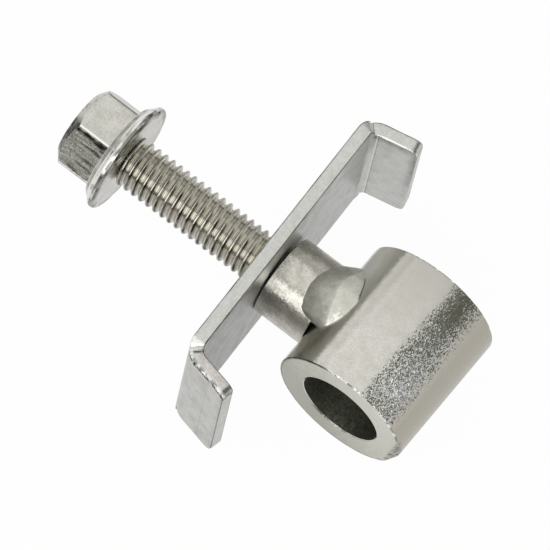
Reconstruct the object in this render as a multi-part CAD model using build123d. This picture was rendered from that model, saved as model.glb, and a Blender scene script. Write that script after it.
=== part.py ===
from build123d import *
import os
from math import cos, radians, sin, tan

# Motorcycle chain adjuster. Millimetres, +Z up, origin at the middle of the axle bore.
# The axle passes through along Y. The bolt lies along X, with its head towards -X.

# Axle barrel: a short thick tube
BARREL_OD = 16.4
BARREL_LENGTH = 17.0
BORE_D = 10.0
BARREL_RIM_BREAK = 0.15

# Threaded neck: a sleeve welded end-on to the barrel
NECK_OD = 9.75
NECK_LENGTH = 6.5
NECK_EDGE_BREAK = 0.25

# Weld run between the neck and the barrel, a rounded fillet swept part of the way round the neck
BEAD_ARC_R = 4.0
BEAD_ARC_LEAD = 0.9
BEAD_ARC_INSET = 2.6
BEAD_ROOT_DEPTH = 0.9
BEAD_START_ANGLE = 46.0
BEAD_END_ANGLE = 174.0

# End plate: bent sheet with a narrower tab at each end, loose on the bolt and turned a little on it
PLATE_THICKNESS = 1.65
PLATE_WIDTH = 19.4
PLATE_LENGTH = 35.0
PLATE_SEAT_GAP = 0.25
PLATE_HOLE_D = 6.6
PLATE_HOLE_OFFSET = 0.43
PLATE_TURN = 2.0
BEND_INNER_R = 1.0
TAB_SHOULDER = 1.2
TAB_LENGTH = 6.8
NEAR_TAB_SPLAY = 14.6
FAR_TAB_SPLAY = 10.0
TAB_CORNER_R = 1.0
SHOULDER_CORNER_R = 0.95
RELIEF_R = 0.2

# Flange bolt, M6, with a plain shank at the thread's outer diameter
THREAD_D = 6.0
THREAD_CLEARANCE = 0.06
BOLT_LENGTH = 30.0
EXPOSED_THREAD = 19.2
TIP_CHAMFER = 0.7
FLANGE_D = 13.5
FLANGE_RIM = 0.95
FLANGE_RIM_ROUND = 0.4
FLANGE_TOP_D = 10.6
FLANGE_HEIGHT = 1.5
HEX_FLATS = 9.6
HEX_CORNER_R = 0.4
HEX_TURN = 6.0
HEAD_HEIGHT = 7.0
HEAD_TOP_D = 7.9
HEAD_CHAMFER_ANGLE = 38.0

# Stations along the bolt
neck_barrel_end = -BARREL_OD / 2
neck_plate_end = neck_barrel_end - NECK_LENGTH
plate_inner = neck_plate_end - PLATE_SEAT_GAP
plate_outer = plate_inner - PLATE_THICKNESS
flange_seat = plate_outer - EXPOSED_THREAD
bolt_tip = flange_seat + BOLT_LENGTH

THREADED_HOLE_D = THREAD_D + 2 * THREAD_CLEARANCE
TAB_WIDTH = PLATE_WIDTH - 2 * TAB_SHOULDER


def rod_along_x(diameter, start, end):
    """Round rod on the bolt's axis, from one station to another."""
    base = Plane(origin=(start, 0, 0), z_dir=(1, 0, 0))
    return base * Cylinder(diameter / 2, end - start, align=(Align.CENTER, Align.CENTER, Align.MIN))


def rod_along_y(diameter, length):
    """Round rod on the axle's axis, centred on the origin."""
    return Plane.XZ * Cylinder(diameter / 2, length)


def axle_barrel():
    """Thick tube with broken rims, cross-drilled through its wall for the bolt."""
    tube = rod_along_y(BARREL_OD, BARREL_LENGTH) - rod_along_y(BORE_D, BARREL_LENGTH)
    rims = tube.edges().filter_by(GeomType.CIRCLE)
    tube = chamfer(rims, BARREL_RIM_BREAK)
    return tube - rod_along_x(THREADED_HOLE_D, neck_barrel_end - 1, 0)


def threaded_neck():
    """Sleeve with flat ends: the barrel end only touches the barrel along its crown."""
    sleeve = rod_along_x(NECK_OD, neck_plate_end, neck_barrel_end)
    rim = sleeve.edges().filter_by(GeomType.CIRCLE).sort_by(Axis.X)[0]
    sleeve = chamfer(rim, NECK_EDGE_BREAK)
    return sleeve - rod_along_x(THREADED_HOLE_D, neck_plate_end, neck_barrel_end)


def weld_bead(side):
    """One weld run: side is 1 for the upper run, -1 for the lower one."""
    root_r = NECK_OD / 2 - BEAD_ROOT_DEPTH
    arc_x = neck_barrel_end + BEAD_ARC_LEAD
    disc = Pos(arc_x, NECK_OD / 2 - BEAD_ARC_INSET) * Circle(BEAD_ARC_R)
    above_root = Pos(arc_x, root_r) * Rectangle(
        2 * BEAD_ARC_R, 2 * BEAD_ARC_R, align=(Align.CENTER, Align.MIN)
    )
    profile = Rot(X=180 - BEAD_START_ANGLE) * (disc & above_root)
    run = revolve(profile, Axis.X, BEAD_START_ANGLE - BEAD_END_ANGLE)
    run -= rod_along_x(NECK_OD, neck_plate_end, neck_barrel_end)
    run -= rod_along_y(BARREL_OD, 2 * BARREL_LENGTH)
    if side < 0:
        run = mirror(run, Plane.XY)
    return run


def bent_section():
    """Section of the end plate in the XY plane: the plate and its two splayed tabs."""
    half = PLATE_LENGTH / 2
    near, far = radians(NEAR_TAB_SPLAY), radians(FAR_TAB_SPLAY)
    near_corner = (plate_outer, -half)
    far_corner = (plate_outer, half)
    near_tip = (plate_outer + TAB_LENGTH * cos(near), -half - TAB_LENGTH * sin(near))
    far_tip = (plate_outer + TAB_LENGTH * cos(far), half + TAB_LENGTH * sin(far))
    outer_r = BEND_INNER_R + PLATE_THICKNESS
    outside = FilletPolyline(near_tip, near_corner, far_corner, far_tip, radius=outer_r)
    return make_face(offset(outside, amount=PLATE_THICKNESS, side=Side.RIGHT, closed=True))


def end_plate():
    """Bent plate, punched a little off its middle and shouldered at mid-bend for the narrower tabs."""
    plate = extrude(bent_section(), amount=PLATE_WIDTH / 2, both=True)
    plate -= Pos(Y=-PLATE_HOLE_OFFSET) * rod_along_x(PLATE_HOLE_D, plate_outer - 1, plate_inner + 1)
    for splay, end in ((NEAR_TAB_SPLAY, -1), (FAR_TAB_SPLAY, 1)):
        along_tab = Vector(cos(radians(splay)), end * sin(radians(splay)), 0)
        into_bend = (along_tab + Vector(0, -end, 0)).normalized()
        for side in (-1, 1):
            tab_edge = Plane(
                origin=(plate_outer, end * PLATE_LENGTH / 2, side * TAB_WIDTH / 2),
                x_dir=into_bend, z_dir=(0, 0, 1),
            )
            waste = Box(4 * TAB_LENGTH, 2 * TAB_LENGTH, 2 * TAB_SHOULDER)
            plate -= tab_edge * Pos(0, end * TAB_LENGTH, side * TAB_SHOULDER) * waste
        tip_face = plate.faces().filter_by(
            lambda face: face.is_planar and (face.normal_at() - along_tab).length < 1e-6
        )[0]
        tip_corners = tip_face.edges().filter_by(
            lambda edge: abs(edge.center().Z) > TAB_WIDTH / 2 - 1e-6
        )
        plate = fillet(tip_corners, TAB_CORNER_R)
        shoulder_corners = plate.edges().filter_by(
            lambda edge: edge.geom_type == GeomType.LINE
            and abs(edge.center().Z) > PLATE_WIDTH / 2 - 1e-6
            and abs(edge.tangent_at(0).dot(into_bend)) > 1 - 1e-6
        )
        plate = fillet(shoulder_corners, SHOULDER_CORNER_R)
        for side in (-1, 1):
            tab_edge = Plane(
                origin=(plate_outer, end * PLATE_LENGTH / 2, side * TAB_WIDTH / 2),
                x_dir=into_bend, z_dir=(0, 0, 1),
            )
            relief = Rot(Y=90) * Cylinder(RELIEF_R, 4 * (BEND_INNER_R + PLATE_THICKNESS))
            plate -= tab_edge * Pos(0, end * RELIEF_R) * relief
    return Pos(plate_inner) * Rot(Z=PLATE_TURN) * Pos(-plate_inner, PLATE_HOLE_OFFSET) * plate


def bolt_head():
    """Hexagon head on its coned flange, chamfered at the top."""
    flange_profile = Polyline(
        (0, 0), (0, FLANGE_D / 2), (FLANGE_RIM, FLANGE_D / 2), (FLANGE_HEIGHT, FLANGE_TOP_D / 2),
        (FLANGE_HEIGHT, 0), close=True,
    )
    flange_face = make_face(flange_profile)
    rim_corners = flange_face.vertices().filter_by(lambda v: v.Y > FLANGE_D / 2 - 1e-6)
    flange_face = fillet(rim_corners, FLANGE_RIM_ROUND)
    flange = revolve(flange_face, Axis.X)
    hexagon = RegularPolygon(HEX_FLATS / 2, 6, major_radius=False)
    hexagon = fillet(hexagon.vertices(), HEX_CORNER_R)
    head = Plane.YZ * Rot(Z=HEX_TURN) * extrude(hexagon, HEAD_HEIGHT)
    slope = HEX_FLATS * tan(radians(HEAD_CHAMFER_ANGLE))
    crown_profile = make_face(Polyline(
        (0, 0), (HEAD_HEIGHT, 0), (HEAD_HEIGHT, HEAD_TOP_D / 2),
        (HEAD_HEIGHT - slope, HEAD_TOP_D / 2 + HEX_FLATS), (0, HEAD_TOP_D / 2 + HEX_FLATS), close=True,
    ))
    head &= revolve(crown_profile, Axis.X)
    turned = Pos(flange_seat) * Rot(Z=180)
    return turned * (head + flange)


def adjuster_bolt():
    """Flange bolt, with a chamfered tip."""
    shank = rod_along_x(THREAD_D, flange_seat, bolt_tip)
    tip_rim = shank.edges().filter_by(GeomType.CIRCLE).sort_by(Axis.X)[-1]
    return chamfer(tip_rim, TIP_CHAMFER) + bolt_head()


pieces = {
    "axle_barrel": axle_barrel(),
    "threaded_neck": threaded_neck(),
    "weld_bead_upper": weld_bead(1),
    "weld_bead_lower": weld_bead(-1),
    "end_plate": end_plate(),
    "adjuster_bolt": adjuster_bolt(),
}

os.makedirs("parts", exist_ok=True)
for name, piece in pieces.items():
    piece.label = name
    export_step(piece, f"parts/{name}.step")
    box = piece.bounding_box()
    print(f"{name}: {piece.volume:.1f} mm3, {box.size.X:.2f} x {box.size.Y:.2f} x {box.size.Z:.2f} mm")
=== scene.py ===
# %% [markdown]
# # Motorcycle chain adjuster
#
# The adjuster sets how tight a motorcycle's rear chain is. A wheel axle goes through the barrel, a bolt
# pulls the barrel along, and the bent plate caps the end of the swingarm tube. Every piece is steel with
# a bright zinc plating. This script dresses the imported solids: it loads them, keeps their places and
# sizes, and puts finer meshes and procedural finishes where the photograph shows more than plain solids.

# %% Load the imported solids
import math

import bmesh
import bpy
from mathutils import Matrix, Vector, noise


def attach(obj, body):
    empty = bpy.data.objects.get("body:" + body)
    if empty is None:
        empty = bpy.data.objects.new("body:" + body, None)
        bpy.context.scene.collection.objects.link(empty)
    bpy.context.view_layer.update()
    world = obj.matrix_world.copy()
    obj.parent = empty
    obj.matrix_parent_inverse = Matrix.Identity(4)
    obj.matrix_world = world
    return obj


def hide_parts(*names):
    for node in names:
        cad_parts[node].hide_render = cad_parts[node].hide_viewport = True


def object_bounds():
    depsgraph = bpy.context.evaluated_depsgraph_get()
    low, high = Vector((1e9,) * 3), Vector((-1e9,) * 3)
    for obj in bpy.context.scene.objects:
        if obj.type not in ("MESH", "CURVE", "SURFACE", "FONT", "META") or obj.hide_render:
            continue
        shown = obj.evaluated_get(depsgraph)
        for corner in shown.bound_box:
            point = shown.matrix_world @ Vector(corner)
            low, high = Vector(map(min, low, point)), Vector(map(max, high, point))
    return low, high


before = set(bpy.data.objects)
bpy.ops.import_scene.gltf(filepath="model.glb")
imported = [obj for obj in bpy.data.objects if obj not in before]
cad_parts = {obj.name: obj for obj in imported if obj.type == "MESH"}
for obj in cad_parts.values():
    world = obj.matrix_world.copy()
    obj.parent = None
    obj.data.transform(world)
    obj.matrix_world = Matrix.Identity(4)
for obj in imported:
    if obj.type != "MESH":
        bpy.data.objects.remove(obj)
cad_low, cad_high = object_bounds()
MM = 0.001
print("CAD box in mm:", [round(side / MM, 2) for side in cad_high - cad_low])

# %% [markdown]
# ## Camera
#
# The photograph looks steeply down on the adjuster through a long lens. A camera can be aimed by hand, or
# placed by numbers that were worked out from the picture. Numbers are used here, because the edges then
# fall on the same pixels: two angles for the direction, one for the roll, and a distance that sets how
# strong the perspective is.

# %% Place the camera
IMAGE_SIDE = 550
SENSOR_WIDTH = 36
PIXELS_PER_MM = 9.11
CAMERA_AZIMUTH = 24.56
CAMERA_ELEVATION = 68.03
CAMERA_ROLL = 14.1
CAMERA_DISTANCE = 1250
ORIGIN_RIGHT_OF_MIDDLE = 111.3
ORIGIN_BELOW_MIDDLE = 78.8


def camera_axes():
    """Right, up and back directions of the camera."""
    azimuth = math.radians(CAMERA_AZIMUTH)
    elevation = math.radians(CAMERA_ELEVATION)
    roll = math.radians(CAMERA_ROLL)
    level = math.cos(elevation)
    back = Vector((level * math.sin(azimuth), -level * math.cos(azimuth), math.sin(elevation)))
    level_right = Vector((0, 0, 1)).cross(back).normalized()
    level_up = back.cross(level_right)
    right = level_right * math.cos(roll) + level_up * math.sin(roll)
    return right, back.cross(right), back


def put_in_scene(name, data):
    """New object in the scene."""
    made = bpy.data.objects.new(name, data)
    bpy.context.scene.collection.objects.link(made)
    return made


def facing(place, right, up, back):
    """Matrix that puts a camera or a lamp at a place, looking away from its back."""
    return Matrix.Translation(place) @ Matrix((right, up, back)).transposed().to_4x4()


right, up, back = camera_axes()
aim = up * (ORIGIN_BELOW_MIDDLE / PIXELS_PER_MM) - right * (ORIGIN_RIGHT_OF_MIDDLE / PIXELS_PER_MM)
camera_data = bpy.data.cameras.new("photo_camera")
camera_data.sensor_width = SENSOR_WIDTH
camera_data.lens = SENSOR_WIDTH * PIXELS_PER_MM * CAMERA_DISTANCE / IMAGE_SIDE
camera_data.clip_start = 0.05
camera_data.clip_end = 50
camera = put_in_scene("photo_camera", camera_data)
camera.matrix_world = facing((aim + back * CAMERA_DISTANCE) * MM, right, up, back)
bpy.context.scene.camera = camera
print("lens in mm:", round(camera_data.lens, 1))

# %% [markdown]
# ## Node helpers
#
# Each finish below is a small graph of shader nodes. Making and wiring nodes one call at a time is long
# to read, so one helper makes a node, fills its sockets with numbers and links the rest. The others are
# short names for the nodes that come up again and again.

# %% A short way to write node graphs


def add_node(tree, kind, sockets=None, **settings):
    """New node: settings are its options, and each socket gets a number or another node's output."""
    made = tree.nodes.new(kind)
    for setting, value in settings.items():
        setattr(made, setting, value)
    for socket, value in (sockets or {}).items():
        if isinstance(value, bpy.types.NodeSocket):
            tree.links.new(value, made.inputs[socket])
        else:
            made.inputs[socket].default_value = value
    return made


def empty_tree(owner):
    """Clears the nodes of a material or world and returns its tree."""
    owner.use_nodes = True
    owner.node_tree.nodes.clear()
    return owner.node_tree


def arithmetic(tree, operation, first, second=0.0):
    """Output of a Math node."""
    return add_node(tree, "ShaderNodeMath", {0: first, 1: second}, operation=operation).outputs[0]


def vector_maths(tree, operation, first, second=(0, 0, 0)):
    """Output of a Vector Math node."""
    return add_node(tree, "ShaderNodeVectorMath", {0: first, 1: second}, operation=operation).outputs[0]


def scaled(tree, vector, factor):
    """Vector or colour times a number."""
    sockets = {0: vector, "Scale": factor}
    return add_node(tree, "ShaderNodeVectorMath", sockets, operation="SCALE").outputs[0]


def noise_texture(tree, place, scale, detail, roughness=0.5):
    """Output of a Noise Texture node."""
    sockets = {"Vector": place, "Scale": scale, "Detail": detail, "Roughness": roughness}
    return add_node(tree, "ShaderNodeTexNoise", sockets).outputs[0]


def remap(tree, value, low, high, to_low=0.0, to_high=1.0):
    """Value carried from one range to another, held at the ends."""
    sockets = {"Value": value, "From Min": low, "From Max": high, "To Min": to_low, "To Max": to_high}
    return add_node(tree, "ShaderNodeMapRange", sockets).outputs[0]


def blend_colours(tree, share, first, second):
    """Colour that goes from first to second as share goes from 0 to 1."""
    sockets = {"Fac": share, "Color1": first, "Color2": second}
    return add_node(tree, "ShaderNodeMixRGB", sockets).outputs[0]


print("node helpers ready")

# %% [markdown]
# ## Floor and light
#
# The photograph is a product shot: white all round, soft light from above, from the left and from the
# front, a weaker lamp behind, and only a low card on the right. On plated steel the surroundings are what
# you see, so the softboxes matter more than any colour. The floor is white where the camera looks at it, a
# little less bright in reflections, and part of it is an ordinary matt white that still takes the
# adjuster's shadow.

# %% Floor
FLOOR_HALF = 3.0
FLOOR_GAP = 0.00002
SEEN_GLOW_SHARE = 0.97
MIRRORED_GLOW_SHARE = 0.8
MIRRORED_GLOW = 0.83

floor_mesh = bpy.data.meshes.new("floor")
floor_z = cad_low.z - FLOOR_GAP
floor_mesh.from_pydata(
    [(sx * FLOOR_HALF, sy * FLOOR_HALF, floor_z) for sx, sy in ((-1, -1), (1, -1), (1, 1), (-1, 1))],
    [], [(0, 1, 2, 3)],
)
floor = put_in_scene("floor", floor_mesh)


def white_floor():
    """Matt white that also glows towards the camera and towards reflections."""
    material = bpy.data.materials.new("white_floor")
    tree = empty_tree(material)
    path = add_node(tree, "ShaderNodeLightPath")
    seen = path.outputs["Is Camera Ray"]
    mirrored = arithmetic(
        tree, "MAXIMUM", path.outputs["Is Glossy Ray"], path.outputs["Is Transmission Ray"]
    )
    share = arithmetic(
        tree, "MAXIMUM",
        arithmetic(tree, "MULTIPLY", seen, SEEN_GLOW_SHARE),
        arithmetic(tree, "MULTIPLY", mirrored, MIRRORED_GLOW_SHARE),
    )
    strength = remap(tree, seen, 0.0, 1.0, MIRRORED_GLOW, 1.0)
    matt = add_node(tree, "ShaderNodeBsdfDiffuse", {"Color": (0.9, 0.9, 0.9, 1)})
    glow = add_node(tree, "ShaderNodeEmission", {"Color": (1, 1, 1, 1), "Strength": strength})
    mixed = add_node(tree, "ShaderNodeMixShader", {0: share, 1: matt.outputs[0], 2: glow.outputs[0]})
    add_node(tree, "ShaderNodeOutputMaterial", {"Surface": mixed.outputs[0]})
    return material


floor.data.materials.append(white_floor())
print("floor at z mm:", round(floor_z / MM, 2))

# %% World and softboxes
STUDIO_DARK = (0.15, 0.155, 0.125, 1)
LAMP_DISTANCE = 0.9

world = bpy.data.worlds.new("studio")
bpy.context.scene.world = world
world_tree = empty_tree(world)
world_path = add_node(world_tree, "ShaderNodeLightPath")
surround = add_node(world_tree, "ShaderNodeBackground", {"Color": STUDIO_DARK})
backdrop = add_node(world_tree, "ShaderNodeBackground", {"Color": (1, 1, 1, 1), "Strength": 1.0})
world_mix = add_node(
    world_tree, "ShaderNodeMixShader",
    {0: world_path.outputs["Is Camera Ray"], 1: surround.outputs[0], 2: backdrop.outputs[0]},
)
add_node(world_tree, "ShaderNodeOutputWorld", {"Surface": world_mix.outputs[0]})


def softbox(name, direction, width, height, radiance, distance=LAMP_DISTANCE, centre=(0, 0, 0)):
    """Area lamp that faces a centre from a direction and looks as bright as radiance."""
    lamp = bpy.data.lights.new(name, "AREA")
    lamp.shape = "RECTANGLE"
    lamp.size = width
    lamp.size_y = height
    lamp.energy = radiance * math.pi * width * height
    box = put_in_scene(name, lamp)
    away = Vector(direction).normalized()
    level = Vector((1, 0, 0)) if away.z > 0.99 else Vector((0, 0, 1)).cross(away).normalized()
    box.matrix_world = facing(Vector(centre) + away * distance, level, away.cross(level), away)
    return box


softbox("overhead_softbox", (0, 0, 1), 1.53, 1.15, 0.84, distance=0.85, centre=(-0.34, 0.175, 0))
softbox("left_softbox", (-1.0, 0.3, 0.36), 1.2, 0.56, 0.72)
softbox("front_left_softbox", (-0.75, -0.62, 0.33), 0.7, 0.5, 0.85)
softbox("front_softbox", (0.1, -0.76, 0.62), 1.4, 0.66, 1.68)
softbox("back_softbox", (-0.1, 0.85, 0.46), 1.3, 0.5, 0.45)
softbox("right_low_card", (1.0, 0.4, 0.1), 1.0, 0.22, 0.7)
bpy.context.scene.view_settings.view_transform = "Standard"

# %% [markdown]
# ## Zinc plating
#
# Bright zinc is a thin metal coat with a fine crystal grain. Under even light it looks pale and calm, and
# where a bright reflection meets a dark one the grain breaks the border into sparkles. A flat grey would
# miss that, and bump from smooth noise looks like orange peel. So the surface is divided into tiny cells
# and each cell leans its own way, as crystals do. Slow noise stains the colour, and a value painted on the
# mesh darkens edges with dirt and brightens chips; the same value also carries painted shade and painted
# highlights.

# %% Layers of the finish
# The grime colour is used for dirt and for painted shade, the bare chip colour for chips and for painted
# highlights.
GRIME_AND_PAINTED_SHADE = (0.035, 0.033, 0.026, 1)
BARE_METAL_AND_PAINTED_HIGHLIGHT = (0.97, 0.96, 0.94, 1)
MARK_NAME = "edge_mark"
FINE_TONE_MM = 0.2
FINE_TONES = (0.9, 1.08)
STAIN_BAND = (0.36, 0.6)
MIDDLE_OF_NOISE = (0.3, 0.7)


def new_finish(name):
    """Empty material, its tree, and the object's own coordinates in it."""
    material = bpy.data.materials.new(name)
    tree = empty_tree(material)
    return material, tree, add_node(tree, "ShaderNodeTexCoord").outputs["Object"]


def stained_colour(tree, place, pale, stained, stain_mm):
    """Slow change between two colours, and the noise behind it."""
    stain = noise_texture(tree, place, 1 / (stain_mm * MM), 4.0, 0.6)
    fine = noise_texture(tree, place, 1 / (FINE_TONE_MM * MM), 2.0)
    blended = blend_colours(tree, remap(tree, stain, *STAIN_BAND), (*stained, 1), (*pale, 1))
    tone = remap(tree, fine, *MIDDLE_OF_NOISE, *FINE_TONES)
    return scaled(tree, blended, tone), stain


def marked_colour(tree, colour):
    """Colour with dirt and painted shade where the mesh's mark is below zero, and bare bright metal and
    painted highlights where it is above.
    """
    mark = add_node(tree, "ShaderNodeAttribute", attribute_name=MARK_NAME).outputs["Fac"]
    dirt_and_painted_shade = remap(tree, mark, 0.0, -1.0)
    chips_and_painted_highlights = remap(tree, mark, 0.0, 1.0)
    return blend_colours(tree, chips_and_painted_highlights, blend_colours(tree, dirt_and_painted_shade, colour, GRIME_AND_PAINTED_SHADE), BARE_METAL_AND_PAINTED_HIGHLIGHT)


def crystal_normal(tree, place, grain_mm, lean):
    """Normal of a surface whose small cells each lean a little their own way."""
    cells = add_node(tree, "ShaderNodeTexVoronoi", {"Vector": place, "Scale": 1 / (grain_mm * MM)})
    swing = vector_maths(tree, "SUBTRACT", cells.outputs["Color"], (0.5, 0.5, 0.5))
    plain = add_node(tree, "ShaderNodeNewGeometry").outputs["Normal"]
    return vector_maths(tree, "NORMALIZE", vector_maths(tree, "ADD", plain, scaled(tree, swing, lean)))


def streak_bump(tree, place, per_mm, height, normal):
    """Normal with drawn-out noise on it: per_mm gives how fast it changes along each axis."""
    drawn = vector_maths(tree, "MULTIPLY", place, [each / MM for each in per_mm])
    raised = arithmetic(tree, "MULTIPLY", noise_texture(tree, drawn, 1.0, 3.0), height)
    sockets = {"Strength": 1.0, "Distance": MM, "Height": raised, "Normal": normal}
    return add_node(tree, "ShaderNodeBump", sockets).outputs[0]


def metal_output(tree, colour, roughness, normal):
    """Plated metal from a colour, a roughness and a normal."""
    metal = add_node(
        tree, "ShaderNodeBsdfPrincipled",
        {"Base Color": colour, "Metallic": 1.0, "Roughness": roughness, "Normal": normal},
    )
    add_node(tree, "ShaderNodeOutputMaterial", {"Surface": metal.outputs[0]})


# The mark carries dirt and chips, and also painted shade and painted highlights.
print("dirt and bare metal are read from:", MARK_NAME)

# %% Zinc finishes


def zinc(name, pale, stained, roughness, stain_mm, grain_mm=0.13, lean=0.1, streaks=None):
    """Plated steel: pale and stained are the two ends of its colour, and roughness its least and most."""
    material, tree, place = new_finish(name)
    colour, stain = stained_colour(tree, place, pale, stained, stain_mm)
    normal = crystal_normal(tree, place, grain_mm, lean)
    if streaks:
        per_mm, height = streaks
        normal = streak_bump(tree, place, per_mm, height, normal)
    rough = remap(tree, stain, *MIDDLE_OF_NOISE, roughness[1], roughness[0])
    metal_output(tree, marked_colour(tree, colour), rough, normal)
    return material


neck_finish = zinc(
    "neck_zinc", (0.67, 0.65, 0.61), (0.54, 0.52, 0.46), (0.2, 0.3),
    stain_mm=1.2, grain_mm=0.16, lean=0.09,
)
weld_finish = zinc(
    "weld_zinc", (0.74, 0.725, 0.67), (0.66, 0.65, 0.585), (0.42, 0.52),
    stain_mm=1.2, grain_mm=0.16, lean=0.08,
)
plate_finish = zinc(
    "plate_zinc", (0.645, 0.64, 0.62), (0.595, 0.595, 0.58), (0.28, 0.36),
    stain_mm=1.4, streaks=((0.6, 6.0, 0.6), 0.006),
)
sheared_finish = zinc(
    "plate_sheared_zinc", (0.73, 0.69, 0.66), (0.66, 0.625, 0.60), (0.4, 0.5), stain_mm=0.8
)
bore_finish = zinc(
    "bore_dark_steel", (0.25, 0.26, 0.21), (0.13, 0.135, 0.105), (0.45, 0.6),
    stain_mm=0.6, grain_mm=0.2, lean=0.2,
)
print("finishes:", [material.name for material in bpy.data.materials])

# %% [markdown]
# ## Barrel and bolt finishes
#
# Two pieces need a little more. A strip along the barrel's upper right is etched to a coarser grain, more
# so towards its front end, and there the dark reflection turns into sparkles. The bolt's rolled thread
# has a yellow passivation tint, and its hexagon carries drawn-out forging marks. A mask could be painted
# for each, but both follow from where a point lies on the piece, so they are read from the object's own
# coordinates.

# %% Barrel finish
SMOOTH_LEAN = 0.05
RIGHT_LEAN = 0.15
FRONT_GRAIN_LEAN = 1.1
BACK_GRAIN_LEAN = 0.23
GRAIN_STRETCH = 0.6
STRIP_GRAIN_MM = 0.092
STRIP_ROUGHER = 0.03
STRIP_COOL = (0.655, 0.66, 0.65, 1)
# Painted shade towards the far end and on the right side, painted light on the left side.
FAR_END_PAINTED_SHADE = (0.50, 0.485, 0.45, 1)
LEFT_SIDE_PAINTED_LIGHT = (0.93, 0.91, 0.83, 1)
RIGHT_SIDE_PAINTED_SHADE = (0.475, 0.45, 0.39, 1)
FRONT_FACE_TINT = (0.64, 0.64, 0.55, 1)


def barrel_zinc():
    """Zinc with a strip of coarse crystals, which lean more towards the front end of the barrel, with
    painted shade towards the far end and on the right side and painted light on the left side.
    """
    material, tree, place = new_finish("barrel_zinc")
    split = add_node(tree, "ShaderNodeSeparateXYZ", {0: place})
    across, along, height = split.outputs["X"], split.outputs["Y"], split.outputs["Z"]
    strip = remap(tree, across, 1.5 * MM, 3.4 * MM)
    # The strip's other borders: an axis, where the strip is weakest and full in mm, and how weak it gets
    for axis, weakest, full, least in (
        (across, 6.8, 5.6, 0.0), (height, 0.0, 3.0, 0.0),
        (along, -8.6, -6.0, 0.45), (along, -8.48, -8.4, 0.0),
    ):
        strip = arithmetic(tree, "MULTIPLY", strip, remap(tree, axis, weakest * MM, full * MM, least))
    coarse = remap(tree, along, 5.5 * MM, -7.5 * MM, BACK_GRAIN_LEAN, FRONT_GRAIN_LEAN)
    smooth = remap(tree, across, 3.0 * MM, 6.0 * MM, SMOOTH_LEAN, RIGHT_LEAN)
    lean = arithmetic(tree, "ADD", arithmetic(tree, "MULTIPLY", strip, coarse), smooth)
    colour, stain = stained_colour(tree, place, (0.67, 0.652, 0.618), (0.615, 0.595, 0.555), 1.1)
    colour = blend_colours(tree, strip, colour, STRIP_COOL)
    # Each tint comes in along an axis, from one place to another in mm, up to a share: the far end and the
    # right side get painted shade, the left side painted light, and the front face a tint
    for axis, none, full, share, tint in (
        (along, -3.0, 8.5, 1.0, FAR_END_PAINTED_SHADE), (across, -3.5, -6.5, 1.0, LEFT_SIDE_PAINTED_LIGHT),
        (across, 5.4, 7.0, 1.0, RIGHT_SIDE_PAINTED_SHADE), (along, -8.4, -8.46, 0.75, FRONT_FACE_TINT),
    ):
        colour = blend_colours(tree, remap(tree, axis, none * MM, full * MM, 0.0, share), colour, tint)
    rough = remap(tree, stain, *MIDDLE_OF_NOISE, 0.24, 0.17)
    rough = arithmetic(tree, "ADD", rough, arithmetic(tree, "MULTIPLY", strip, STRIP_ROUGHER))
    drawn_out = vector_maths(tree, "MULTIPLY", place, (1.0, GRAIN_STRETCH, 1.0))
    normal = crystal_normal(tree, drawn_out, STRIP_GRAIN_MM, lean)
    metal_output(tree, marked_colour(tree, colour), rough, normal)
    return material


barrel_finish = barrel_zinc()
print("barrel grain leans from", BACK_GRAIN_LEAN, "to", FRONT_GRAIN_LEAN)

# %% Bolt finish
THREAD_START_X = -35.75
HEXAGON_END_X = -37.1
FORGING_HEIGHT = 0.012
ROLLING_HEIGHT = 0.03
THREAD_ROOT_R = 2.5
THREAD_CREST_R = 2.97
THREAD_TINTS = ((0.05, (0.58, 0.55, 0.48, 1)), (0.4, (0.60, 0.575, 0.51, 1)), (0.95, (0.58, 0.57, 0.53, 1)))


def bolt_zinc():
    """Zinc with a tinted, rolled thread and forging marks along the hexagon."""
    material, tree, place = new_finish("bolt_zinc")
    split = add_node(tree, "ShaderNodeSeparateXYZ", {0: place})
    along = split.outputs["X"]
    radius = vector_maths(tree, "MULTIPLY", place, (0, 1, 1))
    radius = add_node(tree, "ShaderNodeVectorMath", {0: radius}, operation="LENGTH").outputs["Value"]
    depth = remap(tree, radius, THREAD_ROOT_R * MM, THREAD_CREST_R * MM)
    thread = add_node(tree, "ShaderNodeValToRGB", {"Fac": depth})
    stops = thread.color_ramp.elements
    stops.new(0.5)
    for stop, (position, tint) in zip(stops, THREAD_TINTS):
        stop.position = position
        stop.color = tint
    head, stain = stained_colour(tree, place, (0.65, 0.635, 0.60), (0.57, 0.555, 0.515), 1.6)
    on_thread = remap(tree, along, (THREAD_START_X - 0.05) * MM, THREAD_START_X * MM)
    forged = remap(tree, along, (HEXAGON_END_X + 0.2) * MM, HEXAGON_END_X * MM, 0.0, FORGING_HEIGHT)
    colour = blend_colours(tree, on_thread, head, thread.outputs[0])
    rough = remap(tree, stain, *MIDDLE_OF_NOISE, 0.24, 0.16)
    normal = crystal_normal(tree, place, 0.13, 0.06)
    normal = streak_bump(tree, place, (0.15, 2.6, 2.6), forged, normal)
    rolled = arithmetic(tree, "MULTIPLY", on_thread, ROLLING_HEIGHT)
    normal = streak_bump(tree, place, (4.5, 0.4, 0.4), rolled, normal)
    metal_output(tree, marked_colour(tree, colour), rough, normal)
    return material


bolt_finish = bolt_zinc()
print("bolt finish changes to the thread at x mm:", THREAD_START_X)

# %% [markdown]
# ## Mesh helpers
#
# Round pieces are made as a lathe makes them: a closed outline is turned about an axis. Writing the
# points directly, in place of adding a cylinder, lets a rim be uneven or a corner be ground off. Marks for
# dirt, chips, painted shade and painted highlights are stored on the points as an attribute, which the
# finishes read.

# %% Turning a form


def steps(start, end, count):
    """Evenly spaced numbers from start to end, both included."""
    return [start + (end - start) * step / (count - 1) for step in range(count)]


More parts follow.
